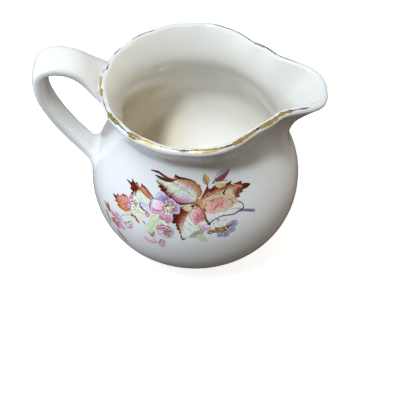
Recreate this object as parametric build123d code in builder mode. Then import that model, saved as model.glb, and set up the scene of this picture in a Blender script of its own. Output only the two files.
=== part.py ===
from build123d import *

import os
from math import cos, exp, hypot, pi, radians, sin

os.makedirs("parts", exist_ok=True)

# Cream jug of glazed white ware. Millimetres, +Z up, foot on Z = 0 and centred on the Z axis,
# spout towards +X, handle towards -X. The main print is on the -Y side.

# --- driving dimensions ---------------------------------------------------------------------
BELLY_R = 46.0            # widest radius of the body
BELLY_Z = 34.7            # height of the widest radius
LOWER_RISE = 36.9         # how far below BELLY_Z the bowl would close
LOWER_POWER = 2.16        # 2 is an ellipse, more is squarer
NECK_R = 33.5             # narrowest radius above the shoulder
NECK_Z = 73.9
SHOULDER_SKEW = 1.146     # above 1 keeps the shoulder full before it draws in
RIM_R = 39.6              # outer edge of the lip before it is rounded
RIM_Z = 88.0
FLARE_POWER = 1.5         # how late the neck opens out towards the rim
WALL = 3.3                # thickness of the cast wall
FLOOR_Z = 5.2             # inside floor above the table

FOOT_R = 24.0             # foot ring, outside and inside radius
FOOT_INNER_R = 20.2
FOOT_RECESS = 2.2         # the base inside the ring is lifted by this much
FOOT_TAPER = 20           # degrees
FOOT_CORE = 8.0           # how far the ring's blank runs up into the bowl

SPOUT_START_Z = 50.8      # the spout grows out of the wall from here up
SPOUT_FULL_Z = 86.0
SPOUT_GROWTH = 1.63
SPOUT_REACH = 20.6        # beyond the round wall, at SPOUT_FULL_Z
SPOUT_HALF_ANGLE = 0.331  # radians from the spout's middle to its shoulder
SPOUT_SHAPE = 3.04        # above 2 makes a broad, round tip
PINCH = 2.3               # how far the wall draws in beside the spout
PINCH_ANGLE = radians(50)
PINCH_WIDTH = radians(15)
TIP_DROPS = [(30.0, 0.0), (44.0, 1.25), (60.0, 5.1)]  # X, and how far the rim is lower there
TIP_SLOPE = (1, -0.35)    # direction of the rim's top line at the last of these
LIP_ROUND = 0.8           # edge radius on both sides of the lip

# stations along the strap handle: centre in the XZ plane, half width, half thickness
HANDLE = [
    ((-34.4, 83.0), 13.0, 2.9),
    ((-38.6, 89.0), 11.8, 2.9),
    ((-42.8, 94.3), 9.8, 3.0),
    ((-48.4, 97.9), 8.3, 3.0),
    ((-54.6, 98.7), 7.5, 3.0),
    ((-59.6, 96.2), 7.3, 3.0),
    ((-61.8, 90.8), 6.9, 3.0),
    ((-61.2, 81.5), 6.3, 2.9),
    ((-57.6, 70.8), 6.0, 2.8),
    ((-52.4, 61.2), 5.8, 2.8),
    ((-47.4, 53.5), 6.0, 2.8),
    ((-42.6, 46.4), 6.6, 2.9),
    ((-38.2, 40.2), 7.4, 3.0),
]
HANDLE_CLEAR_R = 38.1         # above the rim the handle stays outside this radius
SLIP_PROUD = [1.5, 1.1, 0.3]  # slip round each joint, beyond the handle, from the root outwards

FILM = 0.12               # thickness of the gold and of the printed transfers
FILM_BITE = 0.02          # how far a film sinks into the glaze under it
GOLD_OUTER = 1.0          # the gold lies on top of the lip, between these two distances
GOLD_INNER = 2.0          # from the lip's outer face
GOLD_END_X = 46.0         # the gold stops short of the spout's tip

# outlines of the transfers as seen from the side they are on: X and Z of a closed smooth curve
LEAF_SPRAY = [
    (-17.5, 68.8), (-7.0, 70.0), (5.0, 70.2), (14.8, 70.6), (15.6, 66.4), (22.6, 62.2),
    (21.6, 56.4), (26.0, 48.2), (17.6, 44.0), (5.2, 40.4), (-4.6, 41.0), (-9.4, 49.4),
    (-7.4, 55.6), (-12.4, 60.2),
]
BLOSSOM_SPRAY = [
    (-28.2, 60.2), (-20.8, 61.8), (-14.2, 60.0), (-8.2, 56.6), (-10.2, 49.6), (-9.8, 42.4),
    (-13.0, 37.2), (-19.6, 36.8), (-26.6, 43.4), (-33.6, 48.6), (-30.4, 54.0),
]
SIDE_BLOSSOM = [
    (-37.4, 43.8), (-33.6, 42.6), (-30.6, 38.6), (-29.4, 31.0), (-31.0, 29.2), (-35.8, 33.6),
]
BACK_SPRAY = [
    (-13.0, 55.4), (-4.0, 59.2), (6.0, 56.8), (13.4, 51.4), (9.2, 43.0), (0.6, 39.4),
    (-9.0, 44.0),
]

OUTLINE_POINTS = 44
SPOUT_CROWDING = 0.45     # moves outline points towards the spout
OUTER_LEVELS = [2.4, 4.0, 7.0, 12.0, 19.0, 27.0, BELLY_Z, 42, 50, 57, 64, 70, 76, 81, 86, 91]
INNER_LEVELS = [FLOOR_Z + 0.3, 6.5, 9.0, 13.0, 19.5, 27.0] + OUTER_LEVELS[6:]
FAR = 80.0                # reach of the blocks that cut along the whole jug


# --- shape of the wall ----------------------------------------------------------------------
def bowl_radius(z, inset):
    """Radius below the belly; moving in by inset lifts the bowl's bottom too."""
    rise = LOWER_RISE - inset * (FLOOR_Z - BELLY_Z + LOWER_RISE) / WALL
    return (BELLY_R - inset) * (1 - ((BELLY_Z - z) / rise) ** LOWER_POWER) ** (1 / LOWER_POWER)


def shoulder_radius(z):
    """Radius above the belly, away from the spout."""
    up = min(1.0, (z - BELLY_Z) / (NECK_Z - BELLY_Z))
    shoulder = NECK_R + (BELLY_R - NECK_R) * (cos(pi * up**SHOULDER_SKEW) + 1) / 2
    flare = max(0.0, (z - NECK_Z) / (RIM_Z - NECK_Z)) ** FLARE_POWER
    return shoulder + (RIM_R - NECK_R) * flare


def wall_point(angle, z):
    """Point on the wall above the belly, at an angle from the spout's middle, -pi to pi."""
    growth = max(0.0, (z - SPOUT_START_Z) / (SPOUT_FULL_Z - SPOUT_START_Z)) ** SPOUT_GROWTH
    spout = SPOUT_REACH * exp(-((abs(angle) / SPOUT_HALF_ANGLE) ** SPOUT_SHAPE))
    pinch = PINCH * exp(-(((abs(angle) - PINCH_ANGLE) / PINCH_WIDTH) ** 2))
    radius = shoulder_radius(z) + growth * (spout - pinch)
    return radius * cos(angle), radius * sin(angle)


def outline(z, inset):
    """Points round the wall at height z, moved inwards along the wall's normal by inset."""
    points = []
    step = 1e-4
    for i in range(OUTLINE_POINTS):
        turn = 2 * pi * i / OUTLINE_POINTS - pi
        angle = turn - SPOUT_CROWDING * sin(turn)
        if z < BELLY_Z:
            radius = bowl_radius(z, inset)
            points.append((radius * cos(angle), radius * sin(angle)))
        else:
            (x0, y0), (x1, y1) = wall_point(angle - step, z), wall_point(angle + step, z)
            move = inset / hypot(x1 - x0, y1 - y0)
            x, y = wall_point(angle, z)
            points.append((x - move * (y1 - y0), y + move * (x1 - x0)))
    return points


def bowl(levels, inset):
    """Closed solid inside the wall's outer face, moved inwards by inset, over the levels."""
    with BuildPart(mode=Mode.PRIVATE) as solid:
        for level in levels:
            with BuildSketch(Plane.XY.offset(level)):
                with BuildLine():
                    Spline(*outline(level, inset), periodic=True)
                make_face()
        loft()
    return solid.part


def rim_line(height):
    """The rim's top line seen from the side, from where it starts to drop out past the spout."""
    return [(x, RIM_Z + height - drop) for x, drop in TIP_DROPS]


def below_rim(height, depth):
    """Block under the rim's top line: down to a flat bottom, or a band of the given depth."""
    level = (1, 0)
    with BuildPart(mode=Mode.PRIVATE) as block:
        with BuildSketch(Plane.XZ):
            with BuildLine():
                top = Spline(*rim_line(height), tangents=[level, TIP_SLOPE])
                handle_end = (-FAR, RIM_Z + height)
                if depth is None:
                    spout_end = ((top @ 1).X, -FAR)
                    Polyline(top @ 1, spout_end, (-FAR, -FAR), handle_end, top @ 0)
                else:
                    under = Spline(*rim_line(height - depth), tangents=[level, TIP_SLOPE])
                    Line(top @ 1, under @ 1)
                    Polyline(under @ 0, (-FAR, RIM_Z + height - depth), handle_end, top @ 0)
            make_face()
        extrude(amount=FAR, both=True)
    return block.part


# --- whole outside: makes the body, and trims what sits on it --------------------------------
with BuildPart() as outside:
    add(bowl(OUTER_LEVELS, 0))
    add(below_rim(0, None), mode=Mode.INTERSECT)
    with BuildSketch(Plane.XY):
        Circle(FOOT_R)
    extrude(amount=FOOT_CORE)

# --- body: one slip-cast shell with its spout and foot ring ----------------------------------
with BuildPart() as jug_body:
    add(outside.part)
    add(bowl(INNER_LEVELS, WALL), mode=Mode.SUBTRACT)
    lip_edges = jug_body.edges().filter_by(lambda e: e.bounding_box().max.Z > RIM_Z - 0.1)
    fillet(lip_edges, radius=LIP_ROUND)
    with BuildSketch(Plane.XY):
        Circle(FOOT_INNER_R)
    extrude(amount=FOOT_RECESS, taper=FOOT_TAPER, mode=Mode.SUBTRACT)
jug_body.part.label = "jug_body"
export_step(jug_body.part, "parts/jug_body.step")


# --- handle: a separately cast strap, stuck on with slip -------------------------------------
def station_plane(index):
    """Plane across the handle at a station, its X along the strap's width."""
    before = HANDLE[max(index - 1, 0)][0]
    after = HANDLE[min(index + 1, len(HANDLE) - 1)][0]
    (x, z), along = HANDLE[index][0], (after[0] - before[0], 0, after[1] - before[1])
    return Plane(origin=(x, 0, z), x_dir=(0, 1, 0), z_dir=along)


def strap(stations, proud):
    """Loft of oval sections through the stations, each proud of the handle by its amount."""
    with BuildPart(mode=Mode.PRIVATE) as solid:
        for index, extra in zip(stations, proud):
            with BuildSketch(station_plane(index)):
                Ellipse(HANDLE[index][1] + extra, HANDLE[index][2] + extra)
        loft()
    return solid.part


with BuildPart() as inside_rim:
    with BuildSketch(Plane.XY.offset(FOOT_CORE)):
        Circle(HANDLE_CLEAR_R)
    extrude(amount=2 * RIM_Z)

with BuildPart() as handle:
    add(strap(range(len(HANDLE)), [0] * len(HANDLE)))
    add(outside.part, mode=Mode.SUBTRACT)
    add(inside_rim.part, mode=Mode.SUBTRACT)
handle.part.label = "handle"
export_step(handle.part, "parts/handle.step")

# --- slip: the fillet of clay round each of the handle's two joints --------------------------
last = len(HANDLE) - 1
with BuildPart() as upper_handle_slip:
    add(strap([0, 1, 2], SLIP_PROUD))
    add(strap(range(len(HANDLE)), [0] * len(HANDLE)), mode=Mode.SUBTRACT)
    add(outside.part, mode=Mode.SUBTRACT)
    add(inside_rim.part, mode=Mode.SUBTRACT)
upper_handle_slip.part.label = "upper_handle_slip"
export_step(upper_handle_slip.part, "parts/upper_handle_slip.step")

with BuildPart() as lower_handle_slip:
    add(strap([last, last - 1, last - 2], SLIP_PROUD))
    add(strap(range(len(HANDLE)), [0] * len(HANDLE)), mode=Mode.SUBTRACT)
    add(outside.part, mode=Mode.SUBTRACT)
lower_handle_slip.part.label = "lower_handle_slip"
export_step(lower_handle_slip.part, "parts/lower_handle_slip.step")

# --- gold line along the top of the lip, from one side of the spout round to the other -------
with BuildPart() as rim_gilding:
    add(bowl(OUTER_LEVELS[-4:], GOLD_OUTER))
    add(bowl(OUTER_LEVELS[-4:], GOLD_INNER), mode=Mode.SUBTRACT)
    add(below_rim(FILM - FILM_BITE, FILM), mode=Mode.INTERSECT)
    with Locations((GOLD_END_X + FAR / 2, 0, RIM_Z)):
        Box(FAR, FAR, FAR, mode=Mode.SUBTRACT)
rim_gilding.part.label = "rim_gilding"
export_step(rim_gilding.part, "parts/rim_gilding.step")

# --- transfers: printed films fired onto the glaze -------------------------------------------
with BuildPart() as film:
    add(bowl(OUTER_LEVELS, FILM_BITE - FILM))
    add(bowl(OUTER_LEVELS, FILM_BITE), mode=Mode.SUBTRACT)


def transfer(points, side):
    """The part of the film inside a closed curve, on the side of the jug that side points to."""
    with BuildPart(mode=Mode.PRIVATE) as cut:
        with BuildSketch(Plane.XZ):
            with BuildLine():
                Spline(*points, periodic=True)
            make_face()
        extrude(amount=-side * FAR)
        add(film.part, mode=Mode.INTERSECT)
    return cut.part


TRANSFERS = {
    "leaf_spray_transfer": (LEAF_SPRAY, -1),
    "blossom_spray_transfer": (BLOSSOM_SPRAY, -1),
    "side_blossom_transfer": (SIDE_BLOSSOM, -1),
    "back_spray_transfer": (BACK_SPRAY, 1),
}
for name, (points, side) in TRANSFERS.items():
    with BuildPart() as printed:
        add(transfer(points, side))
    printed.part.label = name
    export_step(printed.part, f"parts/{name}.step")
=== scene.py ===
from math import radians, tan

import bpy
import numpy as np
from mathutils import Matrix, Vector


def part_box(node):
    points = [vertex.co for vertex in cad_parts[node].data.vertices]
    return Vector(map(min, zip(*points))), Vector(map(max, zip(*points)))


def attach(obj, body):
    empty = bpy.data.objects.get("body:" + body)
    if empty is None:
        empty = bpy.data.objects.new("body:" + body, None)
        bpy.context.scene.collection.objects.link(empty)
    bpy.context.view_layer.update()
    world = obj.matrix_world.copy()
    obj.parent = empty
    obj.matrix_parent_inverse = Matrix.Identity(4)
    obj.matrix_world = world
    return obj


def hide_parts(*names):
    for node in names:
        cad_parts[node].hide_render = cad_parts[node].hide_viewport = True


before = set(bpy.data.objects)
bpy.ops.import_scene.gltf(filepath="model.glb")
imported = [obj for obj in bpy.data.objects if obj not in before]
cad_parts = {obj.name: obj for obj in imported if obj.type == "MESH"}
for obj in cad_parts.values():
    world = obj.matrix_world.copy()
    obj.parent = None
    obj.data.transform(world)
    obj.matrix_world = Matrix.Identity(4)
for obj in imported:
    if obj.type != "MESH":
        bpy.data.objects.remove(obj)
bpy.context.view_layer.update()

# Lengths are in millimetres up to the moment a mesh is made. Angles round the jug are in radians
# from the spout's middle, +X, towards +Y. Print is laid out flat: across, at PRINT_R, and up.
MM = 0.001

# --- sizes ---
body_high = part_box("jug_body")[1] / MM
BELLY_R = body_high.y
RIM_Z = body_high.z

BELLY_Z = 34.7  # height of the widest radius
LOWER_RISE = 36.9  # how far below BELLY_Z the bowl would close
LOWER_POWER = 2.16
NECK_R = 33.5
NECK_Z = 73.9
SHOULDER_SKEW = 1.146
WALL = 3.3
FLOOR_Z = 5.2

LIP_R = WALL / 2  # the lip ends in a half round
FLARE = 5.17  # how far the wall has flared where the half round begins
FLARE_RISE = 11.53
FLARE_POWER = 1.5

SPOUT_START_Z = 50.8
SPOUT_FULL_Z = 86.0
SPOUT_GROWTH = 1.63
SPOUT_REACH = 20.6
SPOUT_HALF_ANGLE = 0.331
SPOUT_SHAPE = 3.04
PINCH = 2.3
PINCH_ANGLE = radians(50)
PINCH_WIDTH = radians(15)
DROP_START_X = 30.0  # the rim's line drops from here to the spout's tip
DROP_RUN = 30.0
DROP_AT_RUN = 5.1
DROP_POWER = 1.85

SCALLOP = 1.0  # depth of the lip's lobes at the back
SCALLOP_FRONT = 0.4  # and as a share of that in front
SCALLOP_RISE = 13.0  # they fade out this far below the rim
CREASE = 0.15  # how rounded the creases between lobes are at the rim
CREASE_BELOW = 0.5  # and how much rounder where the lobes have faded out
LOBES = [35.5, 56.0, 82.0, 107.0, 130.0, 152.0, 180.0]  # degrees from the spout to each lobe
FIRST_LOBE_FROM = radians(24)

FOOT_R = 24.0
FOOT_INNER_R = 20.2
FOOT_RECESS = 2.2

PAINTED_SHADE_TOP = 88.0  # painted warm shade on the inside: below this height and within this turn of the handle
PAINTED_SHADE_TURN = radians(98)
MM_PER_DEGREE = 0.55  # along the inside of the neck
# small stains inside: degrees from the handle, height, size in mm, strength
STAINS = [(26, 78, (1.6, 1.8), 0.6), (39.5, 67.3, (0.9, 1.3), 1.0), (35, 66, (1.2, 0.8), 0.6),
          (12, 80, (1.2, 2.5), 0.35)]

PRINT_R = 40.0  # print is laid out on a cylinder of this radius
COLUMNS = 240


# --- surface of the wall ---
def smooth(value):
    """0 to 1 with level ends."""
    value = np.clip(value, 0, 1)
    return value * value * (3 - 2 * value)


def fade(value, start, width):
    """0 before the start and 1 a width past it; a width below 0 runs the other way."""
    return smooth((value - start) / width)


def scallop(angle, turn, z):
    """How far the lip's lobes stand out of the wall."""
    phase = np.interp(np.degrees(turn), LOBES, range(len(LOBES)))
    depth = SCALLOP * (1 - (1 - SCALLOP_FRONT) * smooth(0.5 - np.sin(angle)))
    crease = CREASE + CREASE_BELOW * np.clip((RIM_Z - z) / SCALLOP_RISE, 0, 1)
    lobes = depth * (np.sqrt(np.cos(np.pi * phase) ** 2 + crease**2) - crease - 0.5)
    from_spout = fade(turn, FIRST_LOBE_FROM, radians(10))
    return lobes * from_spout * np.clip(1 - (RIM_Z - z) / SCALLOP_RISE, 0, 1.2) ** 1.5


def wall_radius(angle, z):
    """Radius of the wall's outer face."""
    turn = np.abs((angle + np.pi) % (2 * np.pi) - np.pi)
    low = np.clip((BELLY_Z - z) / LOWER_RISE, 0, 1)
    bowl = BELLY_R * (1 - low**LOWER_POWER) ** (1 / LOWER_POWER)
    up = np.clip((z - BELLY_Z) / (NECK_Z - BELLY_Z), 0, 1)
    shoulder = NECK_R + (BELLY_R - NECK_R) * (np.cos(np.pi * up**SHOULDER_SKEW) + 1) / 2
    flare = FLARE * np.clip((z - NECK_Z) / FLARE_RISE, 0, None) ** FLARE_POWER
    growth = np.clip((z - SPOUT_START_Z) / (SPOUT_FULL_Z - SPOUT_START_Z), 0, None) ** SPOUT_GROWTH
    spout = SPOUT_REACH * np.exp(-((turn / SPOUT_HALF_ANGLE) ** SPOUT_SHAPE))
    pinch = PINCH * np.exp(-(((turn - PINCH_ANGLE) / PINCH_WIDTH) ** 2))
    upper = shoulder + flare + growth * (spout - pinch) + scallop(angle, turn, z)
    return np.where(z < BELLY_Z, bowl, upper)


def wall_point(angle, z):
    angle, z = np.broadcast_arrays(np.asarray(angle, float), np.asarray(z, float))
    radius = wall_radius(angle, z)
    return np.stack([radius * np.cos(angle), radius * np.sin(angle), z], axis=-1)


def unit(vectors):
    return vectors / np.linalg.norm(vectors, axis=-1, keepdims=True)


def wall_normal(angle, z):
    """Outward normal of the wall's outer face."""
    step = 2e-3
    along = wall_point(angle + step, z) - wall_point(angle - step, z)
    up = wall_point(angle, z + step) - wall_point(angle, z - step)
    return unit(np.cross(along, up))


def lip(angle):
    """Where the lip's half round begins: its height, centre, and outward and upward directions."""
    z = np.full_like(angle, RIM_Z - 3)
    for _ in range(6):
        outward = wall_normal(angle, z)
        centre = wall_point(angle, z) - LIP_R * outward
        past = np.clip((centre[..., 0] - DROP_START_X) / DROP_RUN, 0, None)
        crest = RIM_Z - DROP_AT_RUN * past**DROP_POWER
        z = crest - LIP_R * (1 - outward[..., 2])
    along = unit(wall_point(angle + 2e-3, z) - wall_point(angle - 2e-3, z))
    upward = np.cross(outward, along)
    return z, centre, outward, upward


def lip_point(angle, elevation, proud):
    """Point on the lip's half round at an elevation above the horizontal, measured outwards."""
    _, centre, outward, upward = lip(angle)
    tilt = np.arcsin(-outward[..., 2])
    turn = (elevation + tilt)[..., None]
    return centre + (LIP_R + proud) * (np.cos(turn) * outward + np.sin(turn) * upward)


# --- meshes ---
def make_object(name, points, faces, material):
    mesh = bpy.data.meshes.new(name)
    mesh.from_pydata((np.asarray(points) * MM).tolist(), [], faces)
    mesh.polygons.foreach_set("use_smooth", [True] * len(mesh.polygons))
    mesh.materials.append(material)
    mesh.validate()
    piece = bpy.data.objects.new(name, mesh)
    bpy.context.scene.collection.objects.link(piece)
    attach(piece, "root")
    return piece


def paint_points(piece, name, colours):
    """Gives each of the piece's points a colour that its material reads."""
    attribute = piece.data.attributes.new(name, "FLOAT_COLOR", "POINT")
    full = np.ones((len(piece.data.vertices), 4))
    full[:, :3] = colours
    attribute.data.foreach_set("color", full.ravel())


def grid_faces(rows, columns, closed, first=0):
    """Faces of a grid of points, row after row; a closed one joins its last column to its first."""
    faces = []
    for row in range(rows - 1):
        for column in range(columns if closed else columns - 1):
            right = (column + 1) % columns
            here, above = first + row * columns, first + (row + 1) * columns
            faces.append((here + column, here + right, above + right, above + column))
    return faces


def tube_faces(rows, columns):
    """Faces of a closed grid with a flat cap on each end."""
    caps = tuple(range(columns))[::-1], tuple(range((rows - 1) * columns, rows * columns))
    return grid_faces(rows, columns, closed=True) + list(caps)


def tea_stain_and_painted_shade(points):
    """0 to 1 where the inside is tinted: painted warm shade on the handle's side, most of all low
    down, with the small real stains added.
    """
    turned = np.arctan2(points[..., 1], -points[..., 0])
    z = points[..., 2]
    stain_and_shade = fade(np.abs(turned), PAINTED_SHADE_TURN, radians(-50)) * fade(z, PAINTED_SHADE_TOP, -40)
    for degrees_back, height, size, strength in STAINS:
        across = (np.degrees(turned) - degrees_back) * MM_PER_DEGREE
        stain_and_shade = stain_and_shade + strength * blob(across, z, (0, height), size)
    return np.clip(stain_and_shade, 0, 1)


def jug_body(material):
    """The body from the middle of its underside, out over the wall and the lip, to the floor."""
    turn = np.linspace(-np.pi, np.pi, COLUMNS, endpoint=False)
    angle = turn - 0.45 * np.sin(turn)  # closer together at the spout
    rows = []

    def ring(radius, z):
        rows.append(np.stack([radius * np.cos(angle), radius * np.sin(angle), 0 * angle + z], -1))

    def bowl(inset, starts, ends, count):
        """Rings of the bowl, by the angle of its superellipse: 0 at the belly, 90 at the bottom."""
        rise = LOWER_RISE - inset * (FLOOR_Z - BELLY_Z + LOWER_RISE) / WALL
        for turned in np.radians(np.linspace(starts, ends, count)):
            down = rise * np.sin(turned) ** (2 / LOWER_POWER)
            ring((BELLY_R - inset) * np.cos(turned) ** (2 / LOWER_POWER), BELLY_Z - down)

    for radius in (0.5, 5, 10, 14, 17, 18.6):
        ring(radius, FOOT_RECESS)
    inner_top = FOOT_INNER_R - FOOT_RECESS * tan(radians(20))
    for radius, z in [(inner_top - 0.15, 2.15), (inner_top, 1.9), (inner_top + 0.4, 0.8),
                      (FOOT_INNER_R, 0.35), (20.6, 0.06), (21.2, 0), (22.8, 0), (23.4, 0.07),
                      (23.8, 0.35), (FOOT_R, 0.9), (FOOT_R, 1.6), (24.3, 2.15), (24.9, 2.75)]:
        ring(radius, z)
    bowl(0, 56.5, 0, 34)
    top, centre, outward, upward = lip(angle)
    for share in np.linspace(0, 1, 84)[1:]:
        rows.append(wall_point(angle, BELLY_Z + (top - BELLY_Z) * share))
    for turned in np.radians(np.linspace(0, 180, 19))[1:-1]:
        rows.append(centre + LIP_R * (np.cos(turned) * outward + np.sin(turned) * upward))
    inside_from = len(rows)
    for share in np.linspace(1, 0, 70):
        z = BELLY_Z + (top - BELLY_Z) * share
        rows.append(wall_point(angle, z) - WALL * wall_normal(angle, z))
    bowl(WALL, 2.5, 89.0, 40)

    points = np.concatenate(rows)
    piece = make_object("glazed_body", points, tube_faces(len(rows), COLUMNS), material)
    inside = np.zeros((len(rows), COLUMNS, 3))
    inside[inside_from:] = 1
    placed = points.reshape(len(rows), COLUMNS, 3)
    # green: the small real stains, and painted warm shade on the handle's side of the inside
    inside[..., 1] *= tea_stain_and_painted_shade(placed)
    # blue: painted shade, the inside wall turning to a darker tone from 30 mm up
    inside[..., 2] *= fade(placed[..., 2], 30, 40)
    paint_points(piece, "inside", inside.reshape(-1, 3))
    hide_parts("jug_body")


# --- handle ---
# stations from the neck over the rim's level and down to the belly: centre, half width, half
# thickness, and how far the section bends round with the wall; the root sits a little to the back
HANDLE = [
    ((-33, 5.4, 70.5), 5, 0.3, 1),
    ((-33.8, 5.4, 74.6), 8.8, 1.3, 1),
    ((-36.6, 5.4, 79.6), 10.8, 2.5, 1),
    ((-40.4, 5, 85.3), 10.8, 2.8, 0.9),
    ((-44, 3.5, 91.4), 9, 2.8, 0.3),
    ((-48.8, 1.6, 96.6), 7.9, 2.9, 0),
    ((-55.2, 0.4, 98.9), 7.7, 3, 0),
    ((-60.4, 0, 96.9), 7.5, 3, 0),
    ((-62.2, 0, 90.9), 7, 3, 0),
    ((-61.6, 0, 81.5), 6.4, 2.9, 0),
    ((-57.6, 0, 70.8), 6, 2.8, 0),
    ((-52.4, 0, 61.2), 5.8, 2.8, 0),
    ((-47.4, 0, 53.5), 6, 2.8, 0.2),
    ((-43.4, 0, 47), 7.2, 3.1, 0.8),
    ((-41.2, 0, 42), 9, 3, 1),
    ((-41.6, 0, 37), 8, 1, 1),
]
STRAP_POWER = 2.7  # above 2 the strap's section is squarer than an ellipse
ROOT_POWER = 1.9
FILLET = 3.6  # reach of the slip in the corner between strap and wall
UPPER_FILLET = 5.0  # and at the upper root, which is above this height
UPPER_FROM_Z = 60.0
PAINTED_BOUNCE_FROM = 0.35  # share of the strap's length from where its inner face takes the inside's tone as painted warm bounce light


def through(points, count):
    """Points of a smooth curve through the given ones, evenly by their order (Catmull-Rom)."""
    points = np.asarray(points, float)
    ends = [2 * points[0] - points[1]], [2 * points[-1] - points[-2]]
    padded = np.concatenate([ends[0], points, ends[1]])
    place = np.linspace(0, len(points) - 1, count)
    first = np.minimum(place.astype(int), len(points) - 2)
    t = (place - first)[:, None]
    a, b, c, d = (padded[first + k] for k in range(4))
    return 0.5 * (2 * b + (c - a) * t + (2 * a - 5 * b + 4 * c - d) * t**2
                  + (3 * b - a - 3 * c + d) * t**3)


def keep_in_wall(points):
    """Moves points that would come through to the inside of the jug back to the wall's middle."""
    angle = np.arctan2(points[:, 1], points[:, 0])
    top, centre, _, _ = lip(angle)
    z = np.minimum(points[:, 2], top)
    middle = wall_point(angle, z) - LIP_R * wall_normal(angle, z)
    least = np.where(points[:, 2] > top, np.hypot(centre[:, 0], centre[:, 1]),
                     np.hypot(middle[:, 0], middle[:, 1]))
    grow = np.maximum(least / np.hypot(points[:, 0], points[:, 1]), 1)
    return points * np.stack([grow, grow, 1 + 0 * grow], -1)


def off_wall(points):
    """How far the points stand off the wall's outer face, and that face's outward normal there."""
    angle = np.arctan2(points[:, 1], points[:, 0])
    z = np.minimum(points[:, 2], RIM_Z - 2)
    normal = wall_normal(angle, z)
    return np.sum((points - wall_point(angle, z)) * normal, axis=-1, keepdims=True), normal


def spread_at_wall(points, outward):
    """Spreads the strap's skin where it meets the wall, as the slip that fills the corner does."""
    proud, normal = off_wall(points)
    fillet = FILLET + (UPPER_FILLET - FILLET) * fade(points[:, 2:], UPPER_FROM_Z, 10)
    near = np.clip(1 - proud / fillet, 0, 1)
    sideways = outward - np.sum(outward * normal, axis=-1, keepdims=True) * normal
    sideways /= np.maximum(np.linalg.norm(sideways, axis=-1, keepdims=True), 0.25)
    below_rim = fade(points[:, 2:], RIM_Z - 2, -10)
    moved = points + fillet * below_rim * (1 - np.sqrt(1 - near**2)) * sideways
    for _ in range(2):
        now_proud, normal = off_wall(moved)
        moved = moved - below_rim * (now_proud - proud) * normal
    return moved, near * below_rim


def handle(material):
    """The strap, its ends run into the wall."""
    sections, around = 170, 56
    table = np.array([[*place, *rest] for place, *rest in HANDLE])
    line = through(table, sections)
    tangent = unit(np.gradient(line[:, (0, 2)], axis=0))
    turn = np.linspace(0, 2 * np.pi, around, endpoint=False)
    power = 2 / (STRAP_POWER - (STRAP_POWER - ROOT_POWER) * np.clip(line[:, 5, None], 0, 1))
    across = np.sign(np.cos(turn)) * np.abs(np.cos(turn)) ** power
    thick = np.sign(np.sin(turn)) * np.abs(np.sin(turn)) ** power
    y = line[:, 1, None] + line[:, 3, None] * across
    bend = line[:, 5, None] * (np.abs(line[:, :1]) - np.sqrt(line[:, :1] ** 2 - y**2))
    x = line[:, 0, None] - tangent[:, 1, None] * line[:, 4, None] * thick + bend
    z = line[:, 2, None] + tangent[:, 0, None] * line[:, 4, None] * thick
    skin = np.stack([x, y, z], -1)
    around_it = np.roll(skin, -1, axis=1) - np.roll(skin, 1, axis=1)
    outward = unit(np.cross(around_it, np.gradient(skin, axis=0)))
    points, near_wall = spread_at_wall(skin.reshape(-1, 3), outward.reshape(-1, 3))
    points = keep_in_wall(points)
    piece = make_object("strap_handle", points, tube_faces(sections, around), material)
    along = np.arange(sections)[:, None] / sections
    near_wall = near_wall.reshape(sections, around)
    # painted warm bounce light: the strap's inner face takes the inside's creamier tone
    painted_warm_bounce = smooth(thick) * fade(along, PAINTED_BOUNCE_FROM, 0.1) * (1 - near_wall)
    inside = np.stack([painted_warm_bounce, 0 * painted_warm_bounce, near_wall], -1)
    paint_points(piece, "inside", inside.reshape(-1, 3))
    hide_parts("handle", "upper_handle_slip", "lower_handle_slip")


# --- colours ---
def ink(red, green, blue):
    """A colour given as on a screen, 0 to 255, in the linear numbers that Blender works in."""
    screen = np.array([red, green, blue]) / 255
    return np.where(screen <= 0.04045, screen / 12.92, ((screen + 0.055) / 1.055) ** 2.4)


def mix(first, second, share):
    share = np.asarray(share, float)[..., None]
    return first * (1 - share) + second * share


def coats(colour, *more):
    """The colour under further coats, each an ink and how much of it covers."""
    for second, share in more:
        colour = mix(colour, second, share)
    return colour


def noise(x, y, seed=0):
    """Smooth value noise, 0 to 1, that changes over one unit."""
    column, row = np.floor(x), np.floor(y)
    right, up = smooth(x - column), smooth(y - row)

    def corner(dx, dy):
        mixed = np.sin((column + dx) * 127.1 + (row + dy) * 311.7 + seed * 74.7) * 43758.5453
        return mixed - np.floor(mixed)

    below = corner(0, 0) * (1 - right) + corner(1, 0) * right
    above = corner(0, 1) * (1 - right) + corner(1, 1) * right
    return below * (1 - up) + above * up


def blob(x, y, centre, size):
    """1 at the centre, fading to 0 round it."""
    return np.exp(-(((x - centre[0]) / size[0]) ** 2) - ((y - centre[1]) / size[1]) ** 2)


def ridge(value, centre, width):
    """1 along the line where the value is the centre, fading to 0 on both sides."""
    return np.exp(-(((value - centre) / width) ** 2))


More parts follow.
